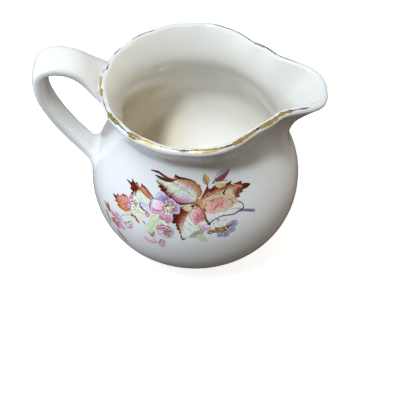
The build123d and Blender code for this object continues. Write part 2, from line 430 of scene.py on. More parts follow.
# --- print ---
class Print:
    """Patches of enamel on the glaze, joined into one mesh, each laid over those before it."""

    LIFT = 0.03  # how far the first patch stands off the glaze
    STEP = 0.002  # and how much further each later one does
    STRENGTH = 1.22  # a power that deepens every ink

    def __init__(self, middle=-np.pi / 2):
        self.points, self.inks, self.faces = [], [], []
        self.count = 0
        self.layer = 0
        self.middle = middle

    def patch(self, across, up, inks, closed=False):
        """A grid of points, as arrays of rows and columns, with an ink for each."""
        rows, columns = across.shape
        angle = self.middle + across / PRINT_R
        lift = self.LIFT + self.STEP * self.layer
        placed = wall_point(angle, up) + lift * wall_normal(angle, up)
        self.points.append(placed.reshape(-1, 3))
        full = np.clip(np.broadcast_to(inks, (rows, columns, 3)), 0, 1) ** self.STRENGTH
        self.inks.append(full.reshape(-1, 3))
        self.faces += grid_faces(rows, columns, closed, self.count)
        self.count += rows * columns
        self.layer += 1

    def finish(self, name, node, material):
        piece = make_object(name, np.concatenate(self.points), self.faces, material)
        paint_points(piece, "ink", np.concatenate(self.inks))
        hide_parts(node)


def along_line(points, count):
    """Points evenly spaced along straight runs between the given points."""
    points = np.asarray(points, float)
    reach = np.concatenate([[0], np.cumsum(np.hypot(*np.diff(points, axis=0).T))])
    place = np.linspace(0, reach[-1], count)
    return np.stack([np.interp(place, reach, points[:, k]) for k in range(2)], -1)


def leaf(sheet, midrib, upper, lower, paint, along=110, half=14):
    """A leaf between its two edges. Each line runs from the stalk to the tip. The paint gets the
    share of the way along, and -1 at the lower edge, 0 on the midrib and 1 at the upper edge."""
    rib = along_line(through(midrib, 40), along)
    edges = {1: along_line(upper, along), -1: along_line(lower, along)}
    t = np.linspace(-1, 1, 2 * half + 1)
    share = np.abs(t)[:, None, None]
    edge = np.stack([edges[1] if side >= 0 else edges[-1] for side in t])
    grid = rib[None] * (1 - share) + edge * share
    s = np.broadcast_to(np.linspace(0, 1, along), grid.shape[:2])
    across_leaf = np.broadcast_to(t[:, None], grid.shape[:2])
    sheet.patch(grid[..., 0], grid[..., 1], paint(s, across_leaf, grid[..., 0], grid[..., 1]))


def petal(sheet, base, tip, width, inner, outer, edge):
    """A rounded petal, streaked from the ink at its base to the one at its tip, with an edge."""
    base, tip = np.asarray(base, float), np.asarray(tip, float)
    axis = tip - base
    side = np.array([-axis[1], axis[0]]) / np.hypot(*axis)
    s = np.linspace(0, 1, 14) ** 0.8
    t = np.linspace(-1, 1, 13)
    half = width / 2 * (s**0.62) * np.sqrt(np.clip(1 - s**3.2, 0, 1)) * 1.25
    grid = base + s[None, :, None] * axis + (t[:, None] * half[None])[..., None] * side
    s2, t2 = np.broadcast_arrays(s[None], t[:, None])
    streak = 0.5 + 0.5 * np.cos(7 * np.pi * t2 + 3 * noise(3 * s2, 4 * t2, 7))
    out = np.maximum(np.abs(t2) * (s2 > 0.25), fade(s2, 0.5, 0.5))
    sheet.patch(grid[..., 0], grid[..., 1], coats(
        inner,
        (outer, smooth(s2 * 1.1) * (0.7 + 0.3 * streak)),
        (WHITE, min(np.mean(outer), 0.55) * fade(out, 0.5, 0.4)),
        (edge, 0.9 * fade(out, 0.88, 0.08))))


def dot(sheet, centre, radius, middle, edge=None):
    """A round spot, or an oval one if radius is a pair."""
    wide, tall = (radius, radius) if np.isscalar(radius) else radius
    turn = np.linspace(0, 2 * np.pi, 14, endpoint=False)
    share = np.array([0.05, 0.45, 0.75, 1])[:, None]
    across = centre[0] + wide * share * np.cos(turn)
    up = centre[1] + tall * share * np.sin(turn)
    colour = mix(middle, middle if edge is None else edge, smooth(share * 1.6 - 0.6) + 0 * across)
    sheet.patch(across, up, colour, closed=True)


def stroke(sheet, points, widths, first, last=None, wobble=0.12):
    """A brush line through the points, from one width and ink to another."""
    count = 10 * len(points)
    line = through(points, count)
    s = np.linspace(0, 1, count)
    tangent = unit(np.gradient(line, axis=0))
    side = np.stack([-tangent[:, 1], tangent[:, 0]], -1)
    half = np.interp(s, np.linspace(0, 1, len(widths)), widths) / 2
    half = half * (1 + wobble * np.sin(9.1 * line[:, 0] + 7.3 * line[:, 1]))
    t = np.array([-1, 0, 1])[:, None, None]
    grid = line[None] + t * half[None, :, None] * side[None]
    colour = mix(first, first if last is None else last, np.broadcast_to(s, (3, count)))
    sheet.patch(grid[..., 0], grid[..., 1], colour)


RUST = ink(96, 26, 10)
BRICK = ink(160, 62, 30)
ORANGE = ink(206, 128, 76)
PEACH = ink(230, 186, 156)
TAN = ink(190, 156, 118)
STRAW = ink(218, 184, 120)
MINT = ink(212, 222, 206)
CREAM = ink(236, 232, 210)
WHITE = ink(236, 236, 238)
PINK = ink(226, 160, 190)
MAGENTA = ink(184, 84, 136)
ROSE = ink(214, 132, 156)
MAUVE = ink(206, 172, 206)
LILAC = ink(192, 186, 220)
VIOLET = ink(128, 104, 164)
PLUM = ink(86, 44, 82)
DARK = ink(44, 26, 20)
BROWN = ink(110, 66, 42)
OLIVE = ink(138, 130, 84)
SAGE = ink(172, 184, 160)
LIME = ink(222, 226, 186)
BEAD = ink(206, 156, 62)
SLATE = ink(146, 146, 184)
PALE_GREY = ink(214, 212, 208)


def veins(s, t, count, slant):
    """1 on the side veins of a leaf and 0 between them; they lean towards the tip."""
    phase = s * count - np.abs(t) * slant
    return np.exp(-((((phase + 0.5) % 1) - 0.5) / 0.1) ** 2)


def fringe(s, t, width, count, slant, seed, soft=0.3):
    """1 along the edge of a leaf, ending inwards in brush strokes."""
    phase = s * count * 2.3 - np.abs(t) * slant * 2
    comb = 0.5 + 0.3 * np.cos(2 * np.pi * phase) + 0.4 * noise(s * count * 5, np.abs(t) * 2, seed)
    return fade(np.abs(t), 1 - width * (0.55 + 0.5 * comb), soft)


def grain(x, y, seed=0):
    """Fine mottling of printed ink, about 1."""
    return (0.92 + 0.16 * noise(x * 4.2, y * 4.2, seed))[..., None]


def stipple(x, y, seed=0):
    """Fine short dabs of ink, 0 to 1."""
    return fade(noise(x * 3.3 + y, y * 1.8 - x * 0.7, seed), 0.35, 0.3)


def leaf_one_paint(s, t, x, y):
    border = fringe(s, t, 0.64, 8, 1.6, 1, 0.3) * fade(s, 0.86, -0.12) * fade(s, 0.1, 0.3)
    lower = coats(
        MINT,
        (WHITE, 0.5 * noise(x * 0.5, y * 0.5, 3)),
        (SAGE, 0.35 * veins(s, t, 6, 1.3)),
        (mix(BRICK, RUST, fade(-t, 0.5, 0.3)), border),
        (LILAC, 0.9 * blob(s, t, (0.17, -0.48), (0.15, 0.2))),
        (mix(MAGENTA, PINK, 0.4), 0.8 * blob(s, t, (0.24, -0.7), (0.2, 0.15))),
        (RUST, 0.9 * fade(-t, 0.76, 0.1)))
    streaks = mix(ROSE, LILAC, stipple(s * 6, t * 9, 2))
    upper = coats(
        mix(CREAM, WHITE, 0.4),
        (TAN, fade(t, 0.1, 0.6)),
        (ORANGE, 0.6 * fade(t, 0.55, 0.3) * fade(s, 0.5, -0.3)),
        (streaks, 0.6 * blob(s, t, (0.32, 0.34), (0.22, 0.26))),
        (BROWN, 0.35 * veins(s, t, 11, 1.6) * smooth(t * 1.4)),
        (mix(BROWN, DARK, fade(s, 0.3, 0.4)),
         0.95 * fade(t + 1.5 * s, 1.35, 0.5) * fade(s, 0.3, 0.2)),
        (BRICK, 0.7 * fade(t, 0.86, 0.1) * fade(s, 0.4, -0.1)))
    return grain(x, y, 1) * coats(
        mix(lower, upper, smooth(t / 0.08 + 0.5)),
        (SAGE, 0.8 * ridge(t, -0.03, 0.05)),
        (BROWN, 0.8 * ridge(t, 0.05, 0.04) * stipple(x, y, 6)),
        (DARK, 0.6 * fade(np.abs(t), 0.92, 0.06)))


def leaf_two_paint(s, t, x, y):
    border = fringe(s, t, 1.15 + 0.4 * s, 12, 1.9, 2, 0.6) * (0.75 + 0.25 * stipple(x, y, 8))
    border = border * np.where(t > 0, 1, fade(s, 0.55, 0.15))
    return grain(x, y, 2) * coats(
        TAN,
        (mix(PEACH, CREAM, 0.6), 0.8 * smooth(0.75 - t)),
        (ORANGE, 0.55 * smooth(t / 0.4) + 0.3 * stipple(x, y, 4)),
        (CREAM, 0.55 * blob(s, t, (0.62, -0.1), (0.12, 0.5))),
        (SAGE, 0.5 * veins(s, t, 11, 1.4) * smooth(0.5 - t)),
        (BRICK, 0.7 * veins(s, t, 13, 1.8) * np.abs(t)),
        (mix(BRICK, RUST, fade(np.abs(t), 0.25, 0.3)), border),
        (RUST, fade(s, 0.76, 0.12)),
        (DARK, 0.5 * fade(np.abs(t), 0.9, 0.08) * (t > 0)),
        (BROWN, 0.7 * ridge(t, 0, 0.05) * (s < 0.8)))


def leaf_three_paint(s, t, x, y):
    left = coats(
        ORANGE,
        (PEACH, 0.6 * smooth(t + 0.8)),
        (mix(BRICK, RUST, fade(-t, 0.4, 0.25)), fringe(s, t, 1.1, 6, 1.3, 4)),
        (BROWN, 0.5 * veins(s, t, 7, 1.2)))
    right = coats(
        MINT,
        (WHITE, 0.5 + 0.5 * noise(x * 0.8, y * 0.8, 8)),
        (TAN, 0.7 * fade(s, 0.18, -0.15)),
        (SAGE, 0.6 * veins(s, t, 7, 1.6)),
        (BROWN, 0.7 * fade(t, 0.9, 0.08)))
    return grain(x, y, 4) * coats(
        mix(left, right, smooth(t / 0.2 + 0.75)),
        (MINT, 0.85 * blob(s, t, (0.68, -0.12), (0.2, 0.24))),
        (RUST, fade(s, 0.9, 0.08)),
        (BROWN, 0.45 * ridge(t, -0.1, 0.05)))


def leaf_four_paint(s, t, x, y):
    upper = coats(
        mix(ORANGE, PEACH, 0.6 * noise(x, y, 2)),
        (BRICK, 0.9 * veins(s, t, 9, 1.1)),
        (RUST, 0.85 * fringe(s, t, 0.5, 5, 1.1, 5)))
    lower = mix(MINT, WHITE, 0.5 * noise(x * 0.7, y * 0.7, 6))
    tips = coats(
        BRICK,
        (RUST, 0.4 + 0.6 * stipple(x, y, 9)),
        (DARK, 0.75 * fade(np.abs(t), 0.72, 0.2)))
    far = fade(s, 0.40 + 0.12 * noise(x * 1.5, y * 1.5, 3) + 0.1 * (t > 0), 0.1)
    return grain(x, y, 5) * coats(
        mix(lower, upper, smooth(t / 0.15 + 0.5)),
        (tips, far),
        (DARK, 0.8 * fade(s, 0.09, -0.06)),
        (DARK, 0.5 * fade(np.abs(t), 0.92, 0.06)),
        (DARK, 0.75 * ridge(t, 0, 0.08)))


def leaf_five_paint(s, t, x, y):
    return grain(x, y, 6) * coats(
        mix(PEACH, ROSE, 0.4),
        (ORANGE, smooth(0.4 - t)),
        (STRAW, 0.7 * blob(s, t, (0.35, -0.5), (0.2, 0.3))),
        (BRICK, 0.6 * veins(s, t, 6, 1.1)),
        (BRICK, fringe(s, t, 0.45, 5, 1.0, 6) * fade(s, 0.3, 0.2)),
        (RUST, fade(s, 0.66, 0.2)),
        (BROWN, 0.7 * fade(np.abs(t), 0.9, 0.08)))


def leaflet_paint(first, last, edge):
    """Paint for a small leaf: from one ink to another, with a darker edge and midrib."""

    def paint(s, t, x, y):
        return grain(x, y, 7) * coats(
            mix(first, last, smooth(t / 0.5 + 0.5)),
            (edge, 0.35 * veins(s, t, 5, 1.0)),
            (edge, 0.7 * fade(np.abs(t), 0.84, 0.14)),
            (edge, 0.6 * ridge(t, 0, 0.08)))

    return paint


def leaflet(sheet, base, tip, width, first, last, edge):
    """A pointed oval leaf, with an ink on each side of its midrib."""
    base, tip = np.asarray(base, float), np.asarray(tip, float)
    side = np.array([base[1] - tip[1], tip[0] - base[0]]) / np.hypot(*(tip - base))
    s = np.linspace(0, 1, 9)
    rib = base + s[:, None] * (tip - base)
    bulge = (width / 2 * np.sin(np.pi * s**0.8))[:, None] * side
    leaf(sheet, [base, (base + tip) / 2, tip], rib + bulge, rib - bulge,
         leaflet_paint(first, last, edge), along=24, half=5)


def lobe(sheet, outline, near, far, dabs, edge, dabbed=0.6, blush=(0.5, 0.5)):
    """A rounded area inside an outline: one ink to another from left to right, with dabs that
    are densest at the blush, given as shares of its width and height."""
    points = np.asarray(outline, float)
    closed = through(np.concatenate([points, points[:1]]), 8 * len(points) + 1)[:-1]
    centre = closed.mean(0)
    share = np.append(np.linspace(0.02, 0.88, 15), [0.92, 0.96, 1.0])[:, None, None]
    grid = centre + share * (closed - centre)
    x, y = grid[..., 0], grid[..., 1]
    low, high = closed.min(0), closed.max(0)
    wide, tall = (x - low[0]) / (high[0] - low[0]), (y - low[1]) / (high[1] - low[1])
    colour = mix(near, far, smooth(wide))
    warm = blob(wide, tall, blush, (0.4, 0.4))
    colour = mix(colour, dabs, np.clip(dabbed * warm * (0.4 + stipple(x, y, 3)), 0, 1))
    rim = np.broadcast_to(fade(share[..., 0], 0.88, 0.1), x.shape)
    ragged = np.clip(2.6 * noise(x * 1.3, y * 1.3, 5) - 0.6, 0, 1)
    sheet.patch(x, y, mix(colour, edge, rim * ragged), closed=True)


def leaf_spray(material):
    sheet = Print()
    stroke(sheet, [(5.5, 49.7), (7.6, 51), (9.4, 51.7), (11.6, 52), (15.7, 51.6),
                   (18.1, 52.1), (20.4, 51.5), (24.8, 49)],
           [0.6, 0.5, 0.5, 0.6, 1.1, 0.5], OLIVE, mix(PLUM, SLATE, 0.7))
    lobe(sheet, [(4.4, 53.6), (8, 53.4), (12, 53.4), (10.2, 52.2), (7.4, 51.4), (5.4, 50.8)],
         ink(218, 224, 236), ink(224, 228, 236), WHITE, ink(218, 224, 236), 0.3)
    stroke(sheet, [(12.4, 54.1), (15.1, 53.9), (17.9, 53.2), (20.5, 51.9), (24.9, 49.8)],
           [0.4, 0.4, 0.7, 0.4], LIME, mix(PLUM, SLATE, 0.6))
    stroke(sheet, [(17.6, 56.3), (19.4, 55.3), (20.2, 54.1), (20.2, 52.8), (18.4, 52.2)],
           [0.6, 0.45, 0.4, 0.5], OLIVE, BROWN)
    stroke(sheet, [(9.4, 51.7), (8.9, 50.6)], [0.35, 0.6], OLIVE)
    stroke(sheet, [(7.1, 50.4), (8.5, 51.5), (11.7, 52.3)], [0.3, 0.4], BEAD, OLIVE)

    lobe(sheet, [(-1.6, 58.4), (0.8, 60), (2.8, 58.4), (4.8, 56.2), (4.4, 54.4), (1.8, 55.2),
                 (-0.8, 56.8)],
         mix(TAN, PEACH, 0.5), mix(BROWN, TAN, 0.6), BROWN, BROWN, 0.8)
    leaf(sheet, [(0.2, 57), (-1.6, 54.8), (-3, 52.1), (-4, 48.9), (-4.5, 45.8), (-4.3, 42.1)],
         [(0.4, 57.2), (2.2, 56.3), (3.5, 54.8), (4.3, 53.4), (4.4, 51.6), (5.7, 49.6), (3.3, 49.3),
          (1.6, 49), (2.4, 47.8), (2.8, 46.5), (2, 45.8), (0.4, 45.8), (-1.3, 45),
          (-1.7, 43.8), (-2.7, 43.6), (-3.1, 42.7), (-4.3, 42)],
         [(0.4, 57.2), (-3.7, 57.1), (-5.4, 56.5), (-6.5, 54.9), (-8.2, 53.8), (-8.5, 52.4),
          (-8.9, 50.9), (-7.9, 50.9), (-8.7, 49.5), (-7.6, 49.1), (-7.4, 48.3), (-6.3, 48.1),
          (-6.8, 47.1), (-5.6, 46.7), (-5.7, 45.7), (-4.9, 44.7), (-5.1, 43.6), (-4.3, 42)],
         leaf_three_paint)
    lobe(sheet, [(-5.4, 56.1), (-3.4, 57.1), (-1.2, 56.8), (-0.7, 56.1), (-1.6, 55),
                 (-3.6, 55.1)],
         TAN, mix(STRAW, CREAM, 0.5), CREAM, BROWN, 0.5)
    lobe(sheet, [(-0.9, 56.1), (1.3, 56.3), (3, 54.8), (4, 53), (4, 51.6), (1.8, 50.4),
                 (0.4, 49.3), (-0.9, 50.9), (-1.8, 52.7), (-1.8, 54.4)],
         mix(PEACH, WHITE, 0.6), PEACH, mix(ROSE, MAGENTA, 0.45), BROWN, 1, (0.62, 0.45))
    stroke(sheet, [(2.6, 56), (4, 53.9), (4.5, 51.8), (5.6, 49.8)], [0.5, 0.9, 0.9, 0.4],
           ORANGE, RUST)

    leaf(sheet, [(1.3, 58.3), (4.6, 60.2), (8.6, 61.5), (13.2, 62), (17.9, 62), (22.2, 61.1),
                 (26, 60)],
         [(1.1, 59.3), (2.8, 60.1), (3.8, 61.6), (4.3, 62.4), (5.9, 64.9), (6.5, 63.3), (7.8, 63.6),
          (8.9, 64.4), (11, 65.1), (13.5, 64), (17.4, 64.6), (16.3, 63.2), (18.7, 63.1),
          (22.2, 62.9), (21.6, 61.8), (24.1, 61.3), (26.1, 60.2)],
         [(1.5, 58), (2.6, 56.7), (3.5, 56), (5, 57.6), (8.4, 59.4), (12.7, 58),
          (14.9, 56.6), (17.4, 55.3), (18.7, 55.4), (17.6, 57.3), (19.9, 57.4), (19, 58.5),
          (21.6, 58.6), (21.1, 59.5), (24, 59.3), (26.1, 59.8)], leaf_two_paint)
    lobe(sheet, [(9.4, 64.2), (11, 65), (13.4, 64.4), (14.4, 63.6), (12.6, 63), (10.8, 63.2)],
         LIME, STRAW, OLIVE, STRAW, 0.3)
    lobe(sheet, [(1.2, 59), (2.7, 60), (4.2, 59.6), (5.2, 58.4), (4.4, 57), (3.3, 55.9),
                 (2.1, 57.1)], mix(STRAW, TAN, 0.5), mix(PEACH, CREAM, 0.4), ORANGE, BROWN, 0.4)
    stroke(sheet, [(17.4, 63), (19.6, 61.9), (21.8, 60.4)], [0.35, 0.3], PEACH)
    stroke(sheet, [(14.6, 62.3), (13.3, 61.3), (12.6, 60.6), (13.6, 60.3)],
           [0.3, 0.6, 0.6, 0.3], DARK)
    stroke(sheet, [(13.4, 60.4), (15.8, 61.2), (18.4, 61.7)], [0.3, 0.6, 0.2], PALE_GREY, SAGE)
    for start, end in [((2.6, 59.2), (6.4, 61.6)), ((5.2, 60.2), (9.6, 62.2)),
                       ((8.8, 60.8), (11.8, 61.6))]:
        middle = np.add(start, end) / 2 + (0.2, -0.2)
        stroke(sheet, [start, middle, end], [0.2, 0.3, 0.1], BROWN, BRICK)
    lobe(sheet, [(4.2, 55.6), (4.5, 57), (5.7, 58), (8.3, 59.2), (11.2, 59.3), (13.1, 58.7),
                 (15, 58), (16.2, 56.8), (16.4, 55.4), (15.3, 54.7), (13.3, 54.3), (12.3, 53.8),
                 (9.6, 54), (7.8, 53.7), (6, 53.6), (4.8, 54.4)], mix(PEACH, WHITE, 0.25),
         mix(TAN, CREAM, 0.5), ROSE, BROWN, 0.75, (0.4, 0.7))
    for start, end in [((6, 54.4), (14, 57.6)), ((8, 54.6), (9.6, 57.2)),
                       ((10.6, 55.2), (12.4, 58))]:
        middle = np.add(start, end) / 2 + (0, 0.4)
        stroke(sheet, [start, middle, end], [0.15, 0.35, 0.1], BRICK, ROSE)

    leaf(sheet, [(0.9, 59.7), (-1, 61), (-3.4, 62.9), (-6.5, 64.4), (-9.4, 65.7), (-13.4, 66),
                 (-18.4, 66.6)],
         [(0.9, 59.5), (2.8, 61), (3.6, 62.5), (2.9, 64), (2.6, 65.4), (1.2, 65.8), (0.7, 66.9),
          (-1.2, 67.1), (-1.8, 68), (-3.1, 68.1), (-4.6, 68.5), (-6.7, 68.5), (-8.8, 69.3),
          (-8.1, 67.7), (-9.2, 66.9), (-11.8, 66.4), (-13.9, 66.5), (-16.2, 66.9), (-18.6, 66.7)],
         [(0.9, 59.5), (-0.1, 58.3), (-2.8, 57.5), (-5.9, 57), (-7.8, 57.1), (-9.5, 57.6),
          (-11.3, 58.8), (-12.8, 58.5), (-14.3, 59.5), (-13.1, 60.6), (-15.4, 61.3), (-14.6, 61.9),
          (-16.5, 62.4), (-15.7, 63.2), (-17.9, 64.3), (-16.6, 64.6), (-17.7, 65.7), (-18.4, 66.5)],
         leaf_one_paint)
    for line, widths in [
            ([(-18.5, 66.7), (-15.6, 66.2), (-12.8, 65.9), (-10.2, 66.2), (-8, 67.4)],
             [0.5, 1.3, 1.3, 0.9, 0.4]),
            ([(-8.9, 69.2), (-7.4, 68.1), (-4.6, 68), (-1.8, 67.6), (0.8, 66.6)],
             [0.7, 1.1, 0.8, 0.6, 0.3])]:
        stroke(sheet, line, widths, DARK, BROWN, 0.25)
    stroke(sheet, [(-21.1, 68.1), (-18.7, 68.4), (-16.7, 68.4), (-14.6, 67.6), (-12.9, 67.1),
                   (-10.8, 66.8), (-8.1, 66.9)], [0.4, 1, 1.1, 1.3, 1, 0.4], RUST, BRICK)

    leaflet(sheet, (6, 65), (4.7, 70.6), 3.2, STRAW, TAN, OLIVE)
    stroke(sheet, [(6.3, 62.8), (6.1, 64.3), (5.7, 67)], [0.4, 0.3], BROWN)
    leaflet(sheet, (9.1, 66.5), (17.6, 70.1), 4.4,
               ink(150, 88, 84), ink(196, 196, 208), ink(96, 60, 66))
    stroke(sheet, [(8.1, 65.3), (9.6, 66.8), (13, 68.4)], [0.5, 0.4, 0.3], BROWN)
    stroke(sheet, [(8.2, 65.5), (11.6, 65.9), (15.6, 65.2)], [0.25, 0.3, 0.2], OLIVE)

    haze = mix(SLATE, PALE_GREY, 0.6)
    leaflet(sheet, (3.6, 46.6), (-1.8, 43.8), 3, SAGE, haze, OLIVE)
    leaflet(sheet, (1, 45.2), (4.9, 41.4), 2.8, LIME, MINT, OLIVE)
    for tip, width in [((9.4, 50.6), 2.8), ((12.2, 50.4), 2.8), ((7.2, 49.6), 2)]:
        petal(sheet, (10.6, 46.8), tip, width, MINT, WHITE, OLIVE)
    dusk = mix(SLATE, PALE_GREY, 0.3)
    for tip, width, hue in [((16.8, 48.2), 4, dusk), ((15.4, 44.8), 3.6, haze),
                            ((12.2, 42.4), 3.4, dusk), ((9, 42.8), 3, haze)]:
        petal(sheet, (10.6, 46.4), tip, width, hue, SLATE, dusk)
    stroke(sheet, [(11.8, 46.4), (13.4, 47.2), (15.2, 47.8)], [1.2, 0.6, 0.2], PLUM, VIOLET)
    for step in range(34):
        share = step / 33
        spread = 2.6 * (noise(step * 1.7, 0.5, 4) - 0.5)
        spot = (5.2 + 7.4 * share, 45.8 + 0.9 * share + spread)
        dot(sheet, spot, 0.55, BEAD if step % 3 else CREAM, BROWN)
        dot(sheet, (spot[0] + 0.1, spot[1] - 0.35), 0.24, DARK)
    petal(sheet, (6.2, 48.4), (2.2, 47.8), 2.8, MAUVE, PINK, MAGENTA)
    petal(sheet, (6, 48.6), (3.2, 48.7), 1.3, WHITE, MAUVE, VIOLET)
    dot(sheet, (5.6, 49.8), 0.6, BROWN, DARK)
    sheet.finish("leaf_spray", "leaf_spray_transfer", material)


def flower(sheet, centre, petals, heart, ring, reach=2.1):
    """Petals, given as tip, width and three inks, round a heart with a crown of stamens."""
    centre = np.array(centre)
    for tip, width, inner, outer, edge in petals:
        petal(sheet, centre, tip, width, inner, outer, edge)
    dot(sheet, centre, (0.84 * reach, 0.78 * reach), mix(ring, RUST, 0.5), mix(ring, TAN, 0.5))
    for step in range(15):
        turn = 2 * np.pi * step / 15 + 0.3
        far = np.array([np.cos(turn), np.sin(turn)])
        far = reach * (0.7 + 0.7 * noise(step * 1.3, 0.5, 8)) * far
        stroke(sheet, [centre + 0.4 * far, centre + far], [0.5, 0.2], heart, WHITE)
        dot(sheet, centre + 0.9 * far, 0.2, ring, RUST)
    middle = centre + reach * np.array([0.1, -0.06])
    dot(sheet, middle, (0.44 * reach, 0.38 * reach), heart, TAN)
    for step in range(7):
        spot = centre + reach * np.array([0.6 * np.sin(2.1 * step), 0.55 * np.cos(3.3 * step)])
        dot(sheet, spot, 0.22, DARK, ring)


def blossom_spray(material):
    sheet = Print()
    stroke(sheet, [(-30.4, 42), (-28.4, 44.7), (-26.4, 46), (-23.1, 47.1)], [0.3, 0.5, 0.4],
           SAGE, OLIVE)
    for base, tip, width, first, last in [
            ((-24.4, 46.8), (-28.8, 44.2), 2.6, MINT, CREAM),
            ((-23, 48.2), (-27.2, 47.6), 2, CREAM, MINT),
            ((-19.8, 49.2), (-24.6, 51), 3.4, CREAM, LIME),
            ((-20.4, 48.2), (-23.8, 48), 2.4, WHITE, CREAM),
            ((-12.8, 50.6), (-17.6, 46.2), 5.2, LIME, MINT),
            ((-14.2, 47.4), (-18.6, 43.6), 3.8, MINT, LIME),
            ((-14, 46.6), (-15.4, 42.2), 3, LIME, CREAM),
            ((-16.4, 45.6), (-18.6, 41.6), 2.4, CREAM, MINT)]:
        leaflet(sheet, base, tip, width, first, last, SAGE)
    stroke(sheet, [(-25.5, 46.8), (-24.3, 46.6), (-22.9, 45.9), (-21.4, 44.7)],
           [1.1, 1, 1.2, 0.8], BROWN, ORANGE)
    stroke(sheet, [(-24.6, 46.5), (-23, 45.7)], [0.3, 0.3], CREAM)
    stroke(sheet, [(-20.2, 46.6), (-19.6, 46.3), (-19, 45.5)], [0.4, 0.3], BROWN)
    leaf(sheet, [(-16.9, 56.5), (-19.4, 56.7), (-22.1, 57.5), (-24.5, 58.4), (-27.2, 58.9),
                 (-32.3, 58.8)],
         [(-16.5, 56.8), (-18.1, 58), (-20.1, 59.2), (-21.8, 60.2), (-24.7, 60.8), (-24.3, 59.6),
          (-24.8, 59.1), (-26.9, 60.4), (-27.4, 59.5), (-29.8, 60.6), (-29.2, 58.9), (-29.9, 58.7),
          (-32.6, 59)],
         [(-16.9, 56.3), (-18, 54.3), (-19.1, 53.7), (-22.1, 53.8), (-24.1, 54.4), (-25.5, 55.1),
          (-26.7, 54.6), (-28.3, 54.8), (-26.9, 56), (-29.3, 56.5), (-28.5, 57.4), (-30.3, 58.1),
          (-32.4, 58.6)], leaf_four_paint)
    for base, tip, width, first, last in [
            ((-23.6, 51.4), (-26.6, 53.4), 2.2, CREAM, MINT),
            ((-24.2, 51), (-23, 53.8), 1.8, WHITE, MINT),
            ((-25, 48.4), (-29.6, 46.4), 2, MINT, CREAM)]:
        leaflet(sheet, base, tip, width, first, last, BROWN)
    leaf(sheet, [(-26, 49), (-29.2, 49.6), (-32.9, 49.6), (-36.5, 49.2)],
         [(-26.1, 48.8), (-26.4, 50.7), (-27.8, 52.3), (-29.9, 53.1), (-31.8, 52.7), (-32.6, 50.9),
          (-34.6, 51), (-34.4, 49.9), (-36.7, 49.5)],
         [(-26.2, 48.5), (-28, 46.5), (-30.1, 46.2), (-31.5, 46.3), (-33, 46.6), (-32.6, 47.6),
          (-34.6, 47.4), (-34.2, 48.3), (-36.6, 49.1)], leaf_five_paint, along=60)
    lobe(sheet, [(-29.3, 49.4), (-28.6, 51), (-27.2, 51), (-26.4, 49.8), (-27.1, 48.5),
                 (-28.5, 48.3)], MAGENTA, MAUVE, PINK, PLUM, 0.4)
    dot(sheet, (-27.6, 50.2), (0.45, 0.3), WHITE, MAUVE)
    stroke(sheet, [(-27, 52), (-25.8, 52.6), (-24.6, 52), (-24, 51)],
           [0.5, 0.3, 0.5, 0.3], BROWN, DARK)
    lobe(sheet, [(-28.3, 52.8), (-28.2, 54), (-27.2, 54.6), (-26.4, 53.5), (-27.2, 52.6)],
         ROSE, PINK, MAGENTA, MAGENTA, 0.4)
    for spot in [(-25.2, 53.4), (-24.2, 52.6), (-26.2, 51.4), (-25, 50.4), (-24.3, 49.8)]:
        dot(sheet, spot, 0.24, BROWN, DARK)

    flower(sheet, (-10.7, 55.3),
           [((-5.4, 55.6), 5.4, mix(PLUM, VIOLET, 0.5), MAUVE, PLUM),
            ((-8.4, 58.8), 4.4, PLUM, MAUVE, BROWN),
            ((-16, 60), 6, VIOLET, LILAC, LILAC),
            ((-13, 59.6), 4.6, MAUVE, VIOLET, MAUVE),
            ((-18.8, 54.2), 7.4, MAGENTA, PINK, VIOLET),
            ((-18.2, 55.4), 4.6, PINK, WHITE, LILAC),
            ((-11, 49), 7, WHITE, MAGENTA, PLUM),
            ((-13, 51), 3.4, MAUVE, PINK, BROWN)], CREAM, BROWN, 2.8)
    flower(sheet, (-10.2, 44.6),
           [((-11.4, 48.6), 5, WHITE, PINK, MAGENTA),
            ((-14.2, 46.4), 4, MAUVE, PINK, MAGENTA),
            ((-13.6, 43.6), 3.6, WHITE, MAUVE, VIOLET),
            ((-7.8, 46.6), 3.6, PINK, MAUVE, PLUM),
            ((-8.4, 43), 3.4, WHITE, LILAC, PLUM),
            ((-11.2, 42.2), 3.2, LILAC, WHITE, PLUM)], TAN, PLUM, 1.7)
    for side in (-0.9, 0.4):
        stroke(sheet, [(-14, 46.6 + side), (-11.2, 47.6 + side), (-8.4, 46.6 + side)],
               [0.25, 0.45, 0.25], MAGENTA, PLUM)
    for tip in [(-6.8, 49.6), (-9.4, 50), (-6.4, 48), (-8.6, 46.6), (-9.6, 48.4)]:
        leaflet(sheet, (-8, 48.6), tip, 1, WHITE, MINT, SAGE)
    leaflet(sheet, (-10, 48), (-13.2, 50), 1.6, WHITE, CREAM, SAGE)
    petal(sheet, (-18.6, 51.4), (-22.8, 53.4), 2.8, WHITE, LILAC, VIOLET)
    stroke(sheet, [(-22.9, 53.3), (-21.9, 52.1), (-20.4, 51.5), (-18.9, 51.4)],
           [0.3, 0.6, 0.5, 0.3], PLUM)
    lobe(sheet, [(-19.7, 50.2), (-19.2, 51.1), (-18.2, 51.2), (-17.7, 50.4), (-18.6, 49.2)],
         MAGENTA, PINK, WHITE, PLUM, 0.4)
    for tip, width in [((-18.6, 37.8), 3), ((-14.8, 37.6), 3.2), ((-16.8, 37), 2.6)]:
        petal(sheet, (-16.2, 40.9), tip, width, WHITE, PINK, mix(MAGENTA, PINK, 0.4))
    leaflet(sheet, (-15.6, 43.6), (-16.6, 40.2), 2.2, CREAM, MINT, OLIVE)
    stroke(sheet, [(-17.2, 42.7), (-16.4, 42), (-15.6, 41.4), (-15.1, 43.8)], [0.4, 0.3], BROWN)
    petal(sheet, (-12.2, 39.6), (-11.9, 36.6), 2.8, PINK, mix(PINK, WHITE, 0.4), MAGENTA)
